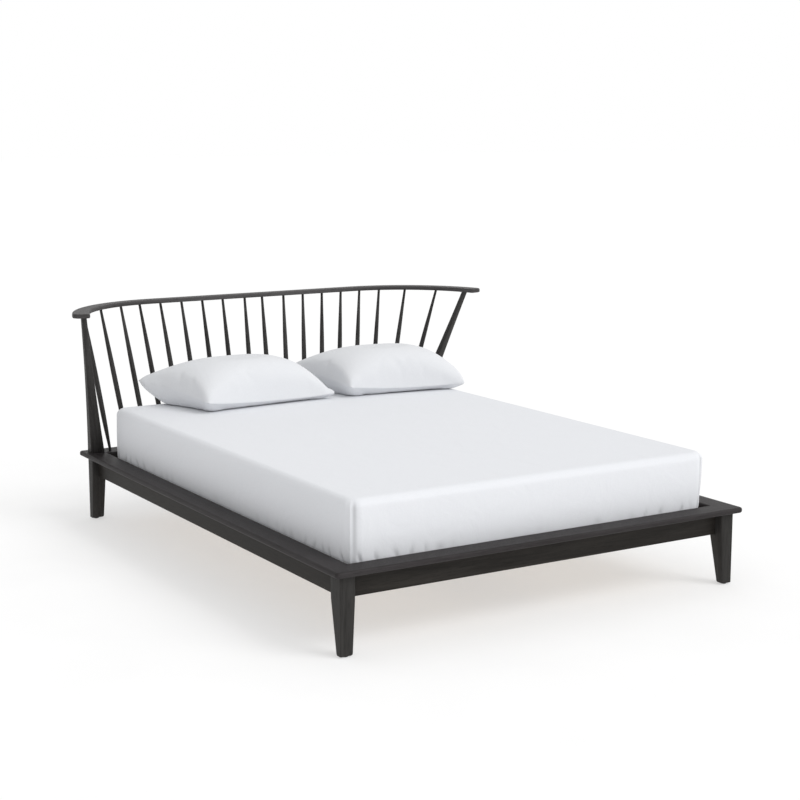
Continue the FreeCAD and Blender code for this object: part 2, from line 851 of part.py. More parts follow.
def pillow_form(corners, grow):
    """The pillow solid on its seam corners, with room for the case between it and the sheet."""
    low = pillow_under + case_thickness + case_gap
    seam = low + pillow_seam_height
    above = pillow_height - pillow_seam_height + grow
    upper = []
    for size_share, draw_share, height_share in pillow_upper_shares:
        upper.append(pillow_outline(corners, size_share, pillow_draw_in * draw_share,
                                    seam + above * height_share, grow))
    below = pillow_seam_height + grow
    lower = []
    for size_share, draw_share, height_share in pillow_lower_shares:
        lower.append(pillow_outline(corners, size_share, pillow_draw_in * draw_share,
                                    seam - below * height_share, grow))
    top = Part.makeLoft(upper, True, False)
    bottom = Part.makeLoft(lower, True, False)
    return top.fuse(bottom)


def pillowcase(corners):
    """The case all round a pillow."""
    return pillow_form(corners, case_gap + case_thickness).cut(pillow_form(corners, case_gap))


def build():
    os.makedirs("parts", exist_ok=True)
    save("cap_foot", cap_foot())
    save("cap_head", cap_head())
    left_cap = cap_left()
    save("cap_left", left_cap)
    save("cap_right", mirrored(left_cap))
    save("apron_foot", end_apron(-1))
    save("apron_head", end_apron(1))
    right_apron = side_apron()
    save("apron_right", right_apron)
    save("apron_left", mirrored(right_apron))
    right_leg = foot_leg().cut(corner_bolt(-1))
    save("leg_foot_right", right_leg)
    save("leg_foot_left", mirrored(right_leg))
    right_leg = head_leg().cut(corner_bolt(1))
    save("leg_head_right", right_leg)
    save("leg_head_left", mirrored(right_leg))
    glides = []
    foot_y = foot_leg_depth_at_floor / 2 - foot_leg_face
    head_y = head_leg_face - head_leg_depth_at_floor / 2
    for width, y in ((foot_leg_width_at_floor, foot_y), (head_leg_width_at_floor, head_y)):
        for side in (-1, 1):
            glides.append(glide(side * (leg_outer_x - width / 2), y))
    for y in centre_leg_places():
        glides.append(glide(0, y))
    save("leg_glides", Part.makeCompound(glides))
    save("corner_blocks", four_corners(corner_block))
    save("corner_bolts", four_corners(corner_bolt))
    save("corner_washers", four_corners(corner_washer))
    save("corner_nuts", four_corners(corner_nut))
    right_cleat = cleat()
    save("cleat_right", right_cleat)
    save("cleat_left", mirrored(right_cleat))
    save("slats", slats())
    right_strap = strap()
    save("slat_straps", Part.makeCompound([right_strap, mirrored(right_strap)]))
    save("centre_beam", centre_beam())
    hanger = beam_hanger()
    save("beam_hangers", Part.makeCompound(
        [hanger, hanger.mirror(vec(0, 0, 0), vec(0, 1, 0))]))
    for name, y in zip(("foot", "head"), centre_leg_places()):
        save("centre_leg_" + name, centre_leg(y))
    save("centre_leg_studs", Part.makeCompound([centre_stud(y) for y in centre_leg_places()]))
    right_post = post()
    save("post_right", right_post)
    save("post_left", mirrored(right_post))
    save("crest_rail", crest_rail())
    for number in range(spindle_count):
        save("spindle_%02d" % (number + 1), spindle(number))
    save("mattress", mattress_form(0))
    save("fitted_sheet", fitted_sheet())
    for side, shares in (("left", pillow_left_shares), ("right", pillow_right_shares)):
        corners = seam_corners(shares)
        save("pillow_" + side, pillow_form(corners, 0))
        save("pillowcase_" + side, pillowcase(corners))


build()
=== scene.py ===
import math

import bmesh
import bpy
import numpy as np
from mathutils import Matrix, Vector, noise


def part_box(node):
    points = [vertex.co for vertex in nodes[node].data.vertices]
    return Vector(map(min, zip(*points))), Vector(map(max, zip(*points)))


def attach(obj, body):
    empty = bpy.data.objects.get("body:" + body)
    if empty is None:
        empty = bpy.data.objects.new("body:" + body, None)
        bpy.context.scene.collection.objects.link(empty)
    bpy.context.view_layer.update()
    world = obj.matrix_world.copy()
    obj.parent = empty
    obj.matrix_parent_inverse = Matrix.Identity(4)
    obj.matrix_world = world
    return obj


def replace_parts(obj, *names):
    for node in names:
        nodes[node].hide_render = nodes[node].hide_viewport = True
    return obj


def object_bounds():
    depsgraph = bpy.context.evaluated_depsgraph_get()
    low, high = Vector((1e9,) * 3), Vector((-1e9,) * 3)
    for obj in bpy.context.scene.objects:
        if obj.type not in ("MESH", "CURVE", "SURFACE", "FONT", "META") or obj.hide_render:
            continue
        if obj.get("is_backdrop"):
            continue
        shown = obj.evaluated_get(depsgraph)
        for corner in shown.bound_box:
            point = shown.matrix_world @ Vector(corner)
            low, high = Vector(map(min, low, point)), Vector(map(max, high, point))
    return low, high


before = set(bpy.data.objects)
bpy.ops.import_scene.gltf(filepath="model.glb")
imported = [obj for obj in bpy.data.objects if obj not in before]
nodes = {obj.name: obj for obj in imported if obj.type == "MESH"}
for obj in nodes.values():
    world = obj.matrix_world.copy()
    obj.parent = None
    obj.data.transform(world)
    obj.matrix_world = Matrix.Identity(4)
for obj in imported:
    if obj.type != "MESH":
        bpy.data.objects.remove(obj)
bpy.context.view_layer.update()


# ---- Legs and aprons ----
# Four tapered legs of an open-grained hardwood and the four aprons tenoned into them.
# All are stained brown-black and sprayed with satin lacquer, so the grain shows faintly.
# The legs' paler copy of the stain is painted light.
STAIN_DARK = (0.0175, 0.0155, 0.0135)
STAIN_LIGHT = (0.0340, 0.0305, 0.0270)
LACQUER_ROUGHNESS = 0.46
LACQUER_SHINE = 0.10
PORE_DEPTH = 0.00022
# How fast the figure and the pores change along and across the grain
FIGURE_STRETCH = (1.5, 30, 30)
PORE_STRETCH = (22, 950, 950)
PORE_SHADE = 0.55
FIGURE_RELIEF = 0.6


def new_finish(name, colour, roughness):
    """A material with one even colour, and its tree and shader to build on."""
    finish = bpy.data.materials.new(name)
    finish.use_nodes = True
    shader = finish.node_tree.nodes["Principled BSDF"]
    shader.inputs["Base Color"].default_value = (*colour, 1)
    shader.inputs["Roughness"].default_value = roughness
    return finish, finish.node_tree, shader


def node(tree, kind, links=(), **settings):
    """Add one node, set its options, and link or fill its inputs by name or number."""
    made = tree.nodes.new("ShaderNode" + kind)
    for key, value in settings.items():
        setattr(made, key, value)
    for key, value in dict(links).items():
        if isinstance(value, bpy.types.NodeSocket):
            tree.links.new(value, made.inputs[key])
        else:
            made.inputs[key].default_value = value
    return made


def math_of(tree, operation, first, second=0.0):
    """The output of one arithmetic node."""
    return node(tree, "Math", {0: first, 1: second}, operation=operation).outputs[0]


def ramp(tree, fac, stops):
    """A colour ramp between (place, colour) stops."""
    made = node(tree, "ValToRGB", {"Fac": fac})
    elements = made.color_ramp.elements
    for index, (place, colour) in enumerate(stops):
        element = elements[index] if index < 2 else elements.new(place)
        element.position = place
        element.color = (*colour, 1)
    return made.outputs["Color"]


def along_grain(tree, direction):
    """Object coordinates turned so that X runs along the grain."""
    turn = Vector(direction).rotation_difference(Vector((1, 0, 0))).to_euler()
    where = node(tree, "TexCoord").outputs["Object"]
    return node(tree, "Mapping", {"Vector": where, "Rotation": turn}).outputs["Vector"]


def wood_figure(tree, grain, shader, dark, light, roughness, pore_depth):
    """Growth figure, fine pores and an uneven sheen, all drawn out along the grain."""
    broad = node(tree, "VectorMath", {0: grain, 1: FIGURE_STRETCH}, operation="MULTIPLY")
    figure = node(tree, "TexNoise", {"Vector": broad.outputs[0], "Scale": 1.0, "Detail": 5.0,
                                     "Roughness": 0.62, "Distortion": 0.5}).outputs["Fac"]
    fine = node(tree, "VectorMath", {0: grain, 1: PORE_STRETCH}, operation="MULTIPLY")
    pores = node(tree, "TexNoise", {"Vector": fine.outputs[0], "Scale": 1.0, "Detail": 2.0,
                                    "Roughness": 0.5}).outputs["Fac"]
    pore = node(tree, "MapRange", {"Value": pores, "From Min": 0.54, "From Max": 0.66}).outputs[0]
    colour = ramp(tree, figure, ((0.36, dark), (0.64, light)))
    shade = node(tree, "MapRange", {"Value": pore, "To Min": 1.0, "To Max": PORE_SHADE})
    shaded = node(tree, "VectorMath", {0: colour, "Scale": shade.outputs[0]}, operation="SCALE")
    tree.links.new(shaded.outputs[0], shader.inputs["Base Color"])
    sheen = node(tree, "MapRange", {"Value": figure, "From Min": 0.3, "From Max": 0.7,
                                    "To Min": roughness - 0.05, "To Max": roughness + 0.08})
    tree.links.new(sheen.outputs[0], shader.inputs["Roughness"])
    raised = math_of(tree, "MULTIPLY", figure, FIGURE_RELIEF)
    height = math_of(tree, "SUBTRACT", raised, pore)
    bump = node(tree, "Bump", {"Height": height, "Strength": 0.5, "Distance": pore_depth})
    tree.links.new(bump.outputs["Normal"], shader.inputs["Normal"])


def stained_wood(name, direction, dark=STAIN_DARK, light=STAIN_LIGHT):
    """Brown-black stained hardwood under satin lacquer, its grain along a direction."""
    finish, tree, shader = new_finish(name, light, LACQUER_ROUGHNESS)
    shader.inputs["Specular IOR Level"].default_value = LACQUER_SHINE
    wood_figure(tree, along_grain(tree, direction), shader, dark, light,
                LACQUER_ROUGHNESS, PORE_DEPTH)
    return finish


def dress(names, finish):
    """Give construction pieces their finish."""
    for name in names:
        for place in nodes[name].material_slots:
            place.material = finish


# A paler copy of the stain for the legs, corner blocks and centre legs: painted light, for the
# light falling on the legs' faces
LIT_LEG_DARK = (0.026, 0.0245, 0.023)
LIT_LEG_LIGHT = (0.048, 0.0460, 0.044)
# A paler copy again for the posts and spindles: painted sheen, for the highlights along their
# sides
LIT_TURNED_DARK = (0.034, 0.032, 0.031)
LIT_TURNED_LIGHT = (0.062, 0.060, 0.058)

lit_upright_wood = stained_wood("stained_wood_upright_painted_light", (0, 0, 1), LIT_LEG_DARK, LIT_LEG_LIGHT)
cross_wood = stained_wood("stained_wood_across", (1, 0, 0))
long_wood = stained_wood("stained_wood_along", (0, 1, 0))
LEG_OUTER_X = 0.838
# Height over the underside, and how much narrower the leg is there than at the floor
LEG_TOE = ((0.006, 0), (0.002, 0.0015), (0, 0.005))
LEG_EDGE_STEPS = 5
LEG_SHARP_ANGLE = 35
# The shoulder's reach, how deep it starts in the leg, its overlap with the apron above it
# and its distance from the apron's faces
SHOULDER_REACH = 0.013
SHOULDER_SINK = 0.007
SHOULDER_OVERLAP = 0.002
SHOULDER_INSET = 0.0012
SHOULDER_STEPS = 8
# Width and depth at the apron and at the floor, with the place of the end face
LEG_SIZES = {"foot": ((0.057, 0.065), (0.048, 0.031), -1.1385),
             "head": ((0.060, 0.051), (0.052, 0.038), 1.0865)}
# Radii of the outer edge, the two edges between, and the inner edge
LEG_EDGES = (0.0045, 0.0055, 0.0055, 0.0040)


def finish_piece(bm, name, finish, smooth=True):
    """Turn a bmesh into a finished piece with its normals outwards."""
    bmesh.ops.recalc_face_normals(bm, faces=bm.faces)
    mesh = bpy.data.meshes.new(name)
    bm.to_mesh(mesh)
    bm.free()
    mesh.materials.append(finish)
    for face in mesh.polygons:
        face.use_smooth = smooth
    piece = bpy.data.objects.new(name, mesh)
    bpy.context.scene.collection.objects.link(piece)
    return piece


def stack_rings(bm, rings):
    """Skin a column of level rings, and close it at both ends."""
    loops = [[bm.verts.new(point) for point in ring] for ring in rings]
    for lower, upper in zip(loops, loops[1:]):
        for index in range(len(lower)):
            following = (index + 1) % len(lower)
            bm.faces.new((lower[index], lower[following], upper[following], upper[index]))
    bm.faces.new(loops[0])
    bm.faces.new(loops[-1])


def leg_levels(low, apron, high, top, floor):
    """Height, width and depth of a leg: square beside the aprons, then tapered."""
    toe = [(low + rise, floor[0] - less, floor[1] - less) for rise, less in LEG_TOE]
    return [(high, *top), (apron, *top), *toe]


def leg_ring(side, end, face, width, depth, z):
    """One level outline of a leg, with each upright edge rounded by its own radius."""
    outer_x, outer_y = side * LEG_OUTER_X, face
    centre_x, centre_y = outer_x - side * width / 2, outer_y - end * depth / 2
    ring = []
    for (right, back), radius in zip(((1, 1), (-1, 1), (-1, -1), (1, -1)), LEG_EDGES):
        hub_x = centre_x + side * right * (width / 2 - radius)
        hub_y = centre_y + end * back * (depth / 2 - radius)
        start = math.atan2(back, right) - math.pi / 4
        for step in range(LEG_EDGE_STEPS + 1):
            turn = start + step * math.pi / 2 / LEG_EDGE_STEPS
            ring.append((hub_x + side * radius * math.cos(turn),
                         hub_y + end * radius * math.sin(turn), z))
    return ring


def shoulder(bm, start, way, axis, across, apron):
    """A hollow shoulder carved on the leg where an apron's underside runs into it."""
    wide, tall = SHOULDER_REACH + SHOULDER_SINK, SHOULDER_REACH
    above = apron + SHOULDER_OVERLAP
    profile = [(-SHOULDER_SINK, above), (SHOULDER_REACH, above)]
    for step in range(SHOULDER_STEPS + 1):
        turn = math.radians(step * 90 / SHOULDER_STEPS)
        profile.append((SHOULDER_REACH - wide * math.sin(turn),
                        apron - tall * (1 - math.cos(turn))))
    sides = []
    for cross in across:
        sides.append([])
        for reach, z in profile:
            place = Vector((cross, cross, z))
            place[axis] = start + way * reach
            sides[-1].append(bm.verts.new(place))
    for index in range(len(profile)):
        following = (index + 1) % len(profile)
        bm.faces.new((sides[0][index], sides[0][following],
                      sides[1][following], sides[1][index]))
    bm.faces.new(sides[0])
    bm.faces.new(sides[1])


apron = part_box("apron_foot")[0].z
for end, (end_name, (top, floor, face)) in zip((-1, 1), LEG_SIZES.items()):
    for side, side_name in ((-1, "left"), (1, "right")):
        node_name = "leg_" + end_name + "_" + side_name
        low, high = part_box(node_name)
        rings = [leg_ring(side, end, face, width, depth, z)
                 for z, width, depth in leg_levels(low.z, apron, high.z, top, floor)]
        bm = bmesh.new()
        stack_rings(bm, rings)
        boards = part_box("apron_" + end_name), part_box("apron_" + side_name)
        inner = side * (LEG_OUTER_X - top[0]), face - end * top[1]
        for axis, board, way in ((0, boards[0], -side), (1, boards[1], -end)):
            across = (board[0][1 - axis] + SHOULDER_INSET,
                      board[1][1 - axis] - SHOULDER_INSET)
            shoulder(bm, inner[axis], way, axis, across, apron)
        leg = finish_piece(bm, "tapered_" + node_name, lit_upright_wood)
        leg.data.set_sharp_from_angle(angle=math.radians(LEG_SHARP_ANGLE))
        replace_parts(leg, node_name)
        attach(leg, "frame")
dress(["apron_foot", "apron_head"], cross_wood)
dress(["apron_left", "apron_right"], long_wood)


# ---- Cap boards ----
# Flat boards laid on the aprons and legs, mitred at the foot corners, with a soft top edge.
# The head board runs the full width and holds the posts and the spindles.
CAP_DARK = (0.024, 0.021, 0.021)
CAP_LIGHT = (0.042, 0.038, 0.039)

dress(["cap_foot", "cap_head"],
      stained_wood("stained_wood_cap_across", (1, 0, 0), CAP_DARK, CAP_LIGHT))
dress(["cap_left", "cap_right"],
      stained_wood("stained_wood_cap_along", (0, 1, 0), CAP_DARK, CAP_LIGHT))


# ---- Glides, corner blocks and their bolts ----
# Nylon discs under the legs keep the wood off the floor. Inside each corner a hardwood
# block is drawn to the leg with a zinc-plated bolt, washer and nut.
def moulded_nylon():
    """Matt black nylon with a fine moulded texture."""
    finish, tree, shader = new_finish("glide_nylon", (0.012, 0.012, 0.013), 0.55)
    where = node(tree, "TexCoord").outputs["Object"]
    speck = node(tree, "TexNoise", {"Vector": where, "Scale": 900.0, "Detail": 2.0})
    bump = node(tree, "Bump", {"Height": speck.outputs["Fac"], "Strength": 0.3,
                               "Distance": 0.0002})
    tree.links.new(bump.outputs["Normal"], shader.inputs["Normal"])
    return finish


def zinc_plate():
    """Dull bright zinc with slight clouding."""
    finish, tree, shader = new_finish("zinc_plate", (0.56, 0.57, 0.58), 0.34)
    shader.inputs["Metallic"].default_value = 1.0
    where = node(tree, "TexCoord").outputs["Object"]
    cloud = node(tree, "TexNoise", {"Vector": where, "Scale": 160.0, "Detail": 4.0})
    colour = ramp(tree, cloud.outputs["Fac"], ((0.35, (0.45, 0.45, 0.44)),
                                               (0.7, (0.62, 0.63, 0.66))))
    tree.links.new(colour, shader.inputs["Base Color"])
    dull = node(tree, "MapRange", {"Value": cloud.outputs["Fac"], "To Min": 0.25, "To Max": 0.45})
    tree.links.new(dull.outputs[0], shader.inputs["Roughness"])
    return finish


zinc = zinc_plate()
dress(["leg_glides"], moulded_nylon())
dress(["corner_blocks"], lit_upright_wood)
dress(["corner_bolts", "corner_washers", "corner_nuts", "beam_hangers", "centre_leg_studs"],
      zinc)


# ---- Slatted deck ----
# Cleats along the side aprons and a beam on two centre legs carry thirteen bare softwood
# slats. Two woven straps underneath keep the slats at their spacing.
PINE_DARK = (0.46, 0.29, 0.13)
PINE_LIGHT = (0.68, 0.49, 0.28)
PINE_ROUGHNESS = 0.62
PINE_PORE_DEPTH = 0.0003


def bare_pine():
    """Planed softwood with no finish."""
    finish, tree, shader = new_finish("bare_pine", PINE_LIGHT, PINE_ROUGHNESS)
    wood_figure(tree, along_grain(tree, (1, 0, 0)), shader, PINE_DARK, PINE_LIGHT,
                PINE_ROUGHNESS, PINE_PORE_DEPTH)
    return finish


def woven_strap():
    """Off-white webbing, its ribs across the strap."""
    finish, tree, shader = new_finish("woven_strap", (0.72, 0.69, 0.60), 0.85)
    where = node(tree, "TexCoord").outputs["Object"]
    ribs = node(tree, "TexWave", {"Vector": where, "Scale": 160.0, "Distortion": 0.4},
                bands_direction="Y")
    colour = ramp(tree, ribs.outputs["Fac"], ((0.2, (0.55, 0.52, 0.44)),
                                              (0.8, (0.76, 0.73, 0.65))))
    tree.links.new(colour, shader.inputs["Base Color"])
    bump = node(tree, "Bump", {"Height": ribs.outputs["Fac"], "Strength": 0.5, "Distance": 0.0005})
    tree.links.new(bump.outputs["Normal"], shader.inputs["Normal"])
    return finish


dress(["cleat_left", "cleat_right", "centre_beam"], long_wood)
dress(["centre_leg_foot", "centre_leg_head"], lit_upright_wood)
dress(["slats"], bare_pine())
dress(["slat_straps"], woven_strap())


# ---- Posts ----
# Two raked, tapered hardwood posts stand over the head legs and carry the ends of the
# crest rail. Their grain runs along the rake.
POST_RAKE = (0.127, -0.240, 0.62)

# The posts' paler stain is painted sheen
for name, side in (("post_right", 1), ("post_left", -1)):
    rake = (side * POST_RAKE[0], *POST_RAKE[1:])
    dress([name], stained_wood("stained_wood_" + name, rake, LIT_TURNED_DARK, LIT_TURNED_LIGHT))


# ---- Spindles ----
# Eighteen turned spindles, slim at both ends and fuller below the middle, glued into
# slanted holes in the head board and in the underside of the crest rail.
SPINDLE_COUNT = 18
SPINDLE_SIDES = 28
SPINDLE_SHARP_ANGLE = 50
# How near its end a point of the construction solid counts as one of that end's
SPINDLE_END_REACH = 0.006
# Height share and radius of the turned outline, from the base up
SPINDLE_OUTLINE = ((0.0, 0.0058), (0.02, 0.0059), (0.06, 0.0066), (0.10, 0.0077),
                   (0.16, 0.0092), (0.24, 0.0103), (0.33, 0.0109), (0.44, 0.0110),
                   (0.55, 0.0107), (0.66, 0.0099), (0.76, 0.0087), (0.86, 0.0071),
                   (0.94, 0.0060), (1.0, 0.0055))


def spindle_ends(name):
    """Where a spindle's axis leaves the head board and meets the rail, from its CAD solid."""
    points = [vert.co for vert in nodes[name].data.vertices]
    low, high = min(point.z for point in points), max(point.z for point in points)
    ends = []
    for level in (low, high):
        near = [point for point in points if abs(point.z - level) < SPINDLE_END_REACH]
        ends.append(sum(near, Vector()) / len(near))
    way = (ends[1] - ends[0]).normalized()
    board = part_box("cap_head")[1].z
    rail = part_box("crest_rail")[0].z
    return [ends[0] + way * ((z - ends[0].z) / way.z) for z in (board, rail)]


def turned_spindle(name, finish):
    """A spindle turned to its outline, about the axis of its construction solid."""
    base, top = spindle_ends(name)
    turn = Vector((0, 0, 1)).rotation_difference(top - base)
    rings = []
    for share, radius in SPINDLE_OUTLINE:
        middle = base.lerp(top, share)
        arms = [Vector((radius * math.cos(2 * math.pi * step / SPINDLE_SIDES),
                        radius * math.sin(2 * math.pi * step / SPINDLE_SIDES), 0))
                for step in range(SPINDLE_SIDES)]
        rings.append([middle + turn @ arm for arm in arms])
    bm = bmesh.new()
    stack_rings(bm, rings)
    piece = finish_piece(bm, "turned_" + name, finish)
    piece.data.set_sharp_from_angle(angle=math.radians(SPINDLE_SHARP_ANGLE))
    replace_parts(piece, name)
    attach(piece, "frame")


# The spindles' paler stain is painted sheen
lit_turned_wood = stained_wood("stained_wood_spindles_painted_sheen", (0, 0, 1), LIT_TURNED_DARK, LIT_TURNED_LIGHT)
for number in range(1, SPINDLE_COUNT + 1):
    turned_spindle("spindle_%02d" % number, lit_turned_wood)


# ---- Crest rail ----
# One flat rail, bent round both ends of the headboard, with rounded corners and edges.
# The grain follows the bend, and the stain is a little paler than on the other pieces, as painted
# sheen for the light the rail catches.
LIT_CREST_DARK = (0.048, 0.045, 0.045)
LIT_CREST_LIGHT = (0.090, 0.086, 0.087)
# Where the straight part ends on either side, and the radius of the bends
CREST_BEND_START = 0.500
CREST_BEND_RADIUS = 0.515


def bent_wood():
    """Stained wood whose grain follows the rail: straight, then round each bend."""
    # The rail's paler colour is painted sheen
    finish, tree, shader = new_finish("stained_wood_bent_painted_sheen", LIT_CREST_LIGHT, LACQUER_ROUGHNESS)
    shader.inputs["Specular IOR Level"].default_value = LACQUER_SHINE
    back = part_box("crest_rail")[1].y
    where = node(tree, "SeparateXYZ", {0: node(tree, "TexCoord").outputs["Object"]}).outputs
    side = math_of(tree, "ABSOLUTE", where["X"])
    past = math_of(tree, "MAXIMUM", math_of(tree, "SUBTRACT", side, CREST_BEND_START))
    forward = math_of(tree, "SUBTRACT", where["Y"], back - CREST_BEND_RADIUS)
    turn = math_of(tree, "ARCTAN2", past, forward)
    straight = math_of(tree, "MINIMUM", side, CREST_BEND_START)
    along = math_of(tree, "ADD", straight, math_of(tree, "MULTIPLY", turn, CREST_BEND_RADIUS))
    squares = [math_of(tree, "MULTIPLY", part, part) for part in (past, forward)]
    radius = math_of(tree, "SQRT", math_of(tree, "ADD", *squares))
    grain = node(tree, "CombineXYZ", {"X": along, "Y": radius, "Z": where["Z"]}).outputs[0]
    wood_figure(tree, grain, shader, LIT_CREST_DARK, LIT_CREST_LIGHT, LACQUER_ROUGHNESS, PORE_DEPTH)
    return finish


dress(["crest_rail"], bent_wood())


# ---- Mattress ----
# A sprung mattress with a knitted cover, its edges and corners soft and its sides slightly
# bowed. It lies loose on the slats, and the sheet hides all but its underside.
MATTRESS_CORNER = 0.046
MATTRESS_RIM = 0.028
# How far inside its construction solid the mattress is drawn, to leave the sheet room
MATTRESS_INSET = 0.0075
MATTRESS_BOW = 0.0035
# The bow follows a cosine over the height; this is its angle at the top and the bottom
BOW_ANGLE = 1.4
# How far the right side draws in at its foot, and how fast that grows downwards
SIDE_LEAN = 0.030
LEAN_POWER = 1.4
# Cell size of the soft skins away from their edges
SOFT_CELL = 0.026
# Finer cells near the edges, as reach from the end and cell size
MATTRESS_ZONES = ((0.06, 0.012),)
MATTRESS_HEIGHT_ZONES = ((0.03, 0.010),)


def cell_places(half, zones, cell):
    """Cuts from -half to half, with finer cells near both ends as the zones say."""
    places = [half]
    for reach, fine in zones:
        while places[-1] > half - reach:
            places.append(places[-1] - fine)
    count = max(1, round(2 * places[-1] / cell))
    middle = [places[-1] * (1 - 2 * index / count) for index in range(1, count)]
    return sorted(places + middle + [-place for place in places])


def cut_block(cuts):
    """A block about the origin whose faces are cut at the given places along X, Y and Z."""
    bm = bmesh.new()
    bmesh.ops.create_cube(bm, size=1)
    for axis, places in enumerate(cuts):
        edges = [edge for edge in bm.edges
                 if abs(edge.verts[0].co[axis] - edge.verts[1].co[axis]) > 0.5]
        bmesh.ops.subdivide_edges(bm, edges=edges, cuts=len(places) - 2, use_grid_fill=True)
        count = len(places) - 1
        for vert in bm.verts:
            vert.co[axis] = places[round((vert.co[axis] + 0.5) * count)] if count else 0
    return bm


def outline_of(x, y, half_x, half_y, corner):
    """Depth inside a round-cornered outline, the way out of it, and the way round it."""
    past_x, past_y = abs(x) - half_x + corner, abs(y) - half_y + corner
    sign_x, sign_y = math.copysign(1, x), math.copysign(1, y)
    if past_x > 0 and past_y > 0:
        reach = math.hypot(past_x, past_y)
        out = Vector((sign_x * past_x / reach, sign_y * past_y / reach, 0))
        around = half_y - corner + corner * math.atan2(past_y, past_x)
        return corner - reach, out, around
    if past_x > past_y:
        return corner - past_x, Vector((sign_x, 0, 0)), abs(y)
    around = half_y - corner + corner * math.pi / 2 + half_x - corner - abs(x)
    return corner - past_y, Vector((0, sign_y, 0)), around


def round_block(bm, half, corner, rim):
    """Round the upright corners of a cut block, then both of its rims."""
    half_x, half_y, half_z = half
    for vert in bm.verts:
        x, y, z = vert.co
        u, v = (abs(x) - half_x + corner) / corner, (abs(y) - half_y + corner) / corner
        if u > 0 and v > 0:
            x = math.copysign(half_x - corner + corner * u * math.sqrt(1 - v * v / 2), x)
            y = math.copysign(half_y - corner + corner * v * math.sqrt(1 - u * u / 2), y)
        depth, out = outline_of(x, y, half_x, half_y, corner)[:2]
        depth, drop = max(depth, 0), half_z - abs(z)
        if depth < rim and drop < rim:
            turn = math.pi / 4 * (1 + (depth - drop) / rim)
            inset = rim * (1 - math.cos(turn)) - depth
            x, y = x - out.x * inset, y - out.y * inset
            z = math.copysign(half_z - rim * (1 - math.sin(turn)), z)
        vert.co = (x, y, z)


def lean_in(x, z, half):
    """How far the right side, which the slack cloth lets sag, draws in towards its foot."""
    if x < half.x - MATTRESS_CORNER:
        return 0
    sag = ((1 - z / half.z) / 2) ** LEAN_POWER
    return SIDE_LEAN * sag * (x - half.x + MATTRESS_CORNER) / MATTRESS_CORNER


def knitted_cover():
    """Off-white quilted knit over the springs and foam."""
    finish, tree, shader = new_finish("knitted_cover", (0.74, 0.73, 0.70), 0.9)
    where = node(tree, "TexCoord").outputs["Object"]
    knit = node(tree, "TexVoronoi", {"Vector": where, "Scale": 420.0})
    quilt = node(tree, "TexVoronoi", {"Vector": where, "Scale": 11.0}, feature="SMOOTH_F1")
    colour = ramp(tree, knit.outputs["Distance"], ((0.1, (0.77, 0.76, 0.73)),
                                                   (0.7, (0.62, 0.61, 0.58))))
    tree.links.new(colour, shader.inputs["Base Color"])
    coarse = node(tree, "Bump", {"Height": quilt.outputs["Distance"], "Strength": 0.5,
                                 "Distance": 0.004})
    bump = node(tree, "Bump", {"Height": knit.outputs["Distance"], "Strength": 0.4,
                               "Distance": 0.0006, "Normal": coarse.outputs["Normal"]})
    tree.links.new(bump.outputs["Normal"], shader.inputs["Normal"])
    return finish


def mattress_body():
    """The mattress inside its sheet."""
    low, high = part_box("mattress")
    half = (high - low) / 2 - Vector((MATTRESS_INSET, MATTRESS_INSET, MATTRESS_INSET))
    bm = cut_block([cell_places(half.x, MATTRESS_ZONES, SOFT_CELL),
                    cell_places(half.y, MATTRESS_ZONES, SOFT_CELL),
                    cell_places(half.z, MATTRESS_HEIGHT_ZONES, SOFT_CELL)])
    round_block(bm, half, MATTRESS_CORNER, MATTRESS_RIM)
    for vert in bm.verts:
        x, y, z = vert.co
        out = outline_of(x, y, half.x, half.y, MATTRESS_CORNER)[1]
        vert.co.x -= lean_in(x, z, half)
        if abs(z) < half.z - MATTRESS_RIM:
            vert.co += out * MATTRESS_BOW * math.cos(z / half.z * BOW_ANGLE)
        elif z > 0:
            vert.co.z += MATTRESS_BOW * (1 - (x / half.x) ** 2) * (1 - (y / half.y) ** 2)
    bmesh.ops.translate(bm, verts=bm.verts, vec=(low + high) / 2)
    return finish_piece(bm, "mattress_body", knitted_cover())


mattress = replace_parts(mattress_body(), "mattress")
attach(mattress, "mattress")


# ---- Fitted sheet ----
# White cotton percale, sewn with an upright seam at each corner and an elastic hem that
# grips under the mattress, so small puckers stand along the lower edge, most of all near
# the corners. On the right side the cloth draws in towards its foot.
HEM_REACH = 0.070
SHEET_THICKNESS = 0.0012
# How far inside its construction solid the sheet is drawn, before it bows and crowns
SHEET_INSET = (0.003, 0.003, 0.0045)
SHEET_BOW = 0.003
SHEET_CROWN = 0.0035
SHEET_SWELL = 0.0012
SWELL_REACH = 0.15
# The least that the cloth stands out, so that it stays off the mattress
SHEET_SINK = -0.0045
FLAT_MARGIN = 0.0001
# Finer cells near the edges, as reach from the end and cell size
SHEET_ZONES = ((0.05, 0.0035), (0.32, 0.0085))
SHEET_HEIGHT_ZONES = ((0.03, 0.0055), (0.07, 0.008))
SHEET_HEIGHT_CELL = 0.014
# Gathers over the hem: their height share, its spread, the share left far from a corner,
# how far from a corner they fade, and the way from pucker to pucker over two pi
GATHER_HEIGHT = 0.19
GATHER_SPREAD = 0.085
DIMPLE_SPREAD = 0.07
GATHER_LEFT = 0.22
GATHER_REACH = 0.36
GATHER_PITCH = 0.0095
GATHER_DEPTH = 0.0065
# Fine pulls beside a corner, and the slow drift of the whole side
PULL_REACH = 0.10
PULL_PITCH = 0.010
PULL_DEPTH = 0.0007
DRIFT_DEPTH = 0.0014
# The seam's height, then its ridge, the hollow beside it and the crease where shade is painted,
# each as its distance from the corner's middle and its width
SEAM_DEPTH = 0.0042
SEAM_RIDGE = (-0.003, 0.0038)
SEAM_HOLLOW = (0.016, 0.012)
SEAM_CREASE = (0.011, 0.007)
CREASE_SHADE = 0.66
COTTON = (0.785, 0.798, 0.828)
COTTON_ROUGHNESS = 0.82
# The threads' waves in radians per metre
THREAD_WAVE = 7400.0
SLUB_SHADE = 0.97


